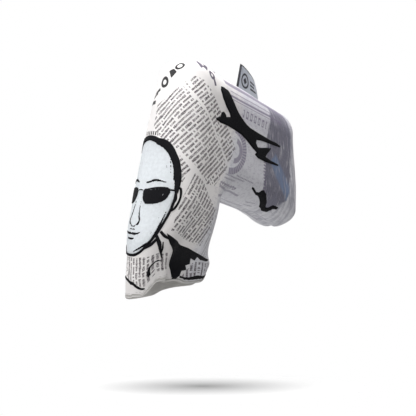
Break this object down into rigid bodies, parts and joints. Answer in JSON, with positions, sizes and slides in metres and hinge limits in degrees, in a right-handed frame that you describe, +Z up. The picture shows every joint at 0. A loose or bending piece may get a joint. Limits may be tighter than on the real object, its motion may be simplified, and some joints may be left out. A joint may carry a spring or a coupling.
{
  "type": "putter head cover",
  "caption": "Padded, printed cover for a blade putter, with a neck that opens along a magnetic slit, a closed toe pocket, raised embroidery and a folded woven label.",
  "frame": {"origin": "centre of the whole object's box, at the level of the neck rim", "axes": "+Z up from the neck rim to the sole seam, +X from heel to toe, -Y out of the embroidered front panel"},
  "size_m": [0.1464, 0.0469, 0.178],
  "materials": {
    "printed_leather": "off-white synthetic leather with an all-over dark print, satin",
    "foam": "open-cell foam padding",
    "lining": "short brushed grey-beige lining",
    "tape": "woven binding tape",
    "hem": "light grey turned hem",
    "thread": "polyester sewing thread",
    "light_thread": "pale blue-white embroidery thread, slight sheen",
    "dark_thread": "black embroidery thread, slight sheen",
    "label_light": "grey-blue woven label",
    "label_dark": "black woven label back",
    "magnet": "nickel-plated disc"
  },
  "bodies": {
    "cover": {"outer_shell": "printed_leather", "front_foam": "foam", "back_foam": "foam", "front_lining": "lining", "back_lining": "lining", "seam_tape": "tape", "heel_hem": "hem", "slit_bar_tack": "thread", "embroidered_face": "light_thread", "embroidered_hair": "dark_thread", "embroidered_glasses": "dark_thread", "embroidered_aircraft": "dark_thread", "embroidered_figure": "dark_thread"},
    "front_lip": {"front_lip_shell": "printed_leather", "front_lip_foam": "foam", "front_lip_lining": "lining", "front_lip_hem": "hem", "front_hem_stitching": "thread", "front_placket": "lining", "front_magnets": "magnet", "embroidered_jacket": "dark_thread"},
    "back_lip": {"back_lip_shell": "printed_leather", "back_lip_foam": "foam", "back_lip_lining": "lining", "back_lip_hem": "hem", "back_hem_stitching": "thread", "back_placket": "lining", "back_magnets": "magnet"},
    "label": {"label_front_ply": "label_light", "label_back_ply": "label_dark", "label_stitching": "thread"}
  },
  "joints": [
    {"name": "front_lip_fold", "type": "hinge", "parent": "cover", "child": "front_lip", "pos_m": [-0.05766, -0.023, 0.0075], "axis": [-0.6, 0, -0.8], "range_deg": [0, 50], "stiffness_Nm_per_rad": 0.06, "springref_deg": -8.59},
    {"name": "back_lip_fold", "type": "hinge", "parent": "cover", "child": "back_lip", "pos_m": [-0.05766, 0.023, 0.0075], "axis": [0.6, 0, 0.8], "range_deg": [0, 50], "stiffness_Nm_per_rad": 0.06, "springref_deg": -8.59},
    {"name": "label_flip", "type": "hinge", "parent": "cover", "child": "label", "pos_m": [0.01034, 0, 0.158], "axis": [1, 0, 0], "range_deg": [-50, 50], "stiffness_Nm_per_rad": 0.004}
  ]
}
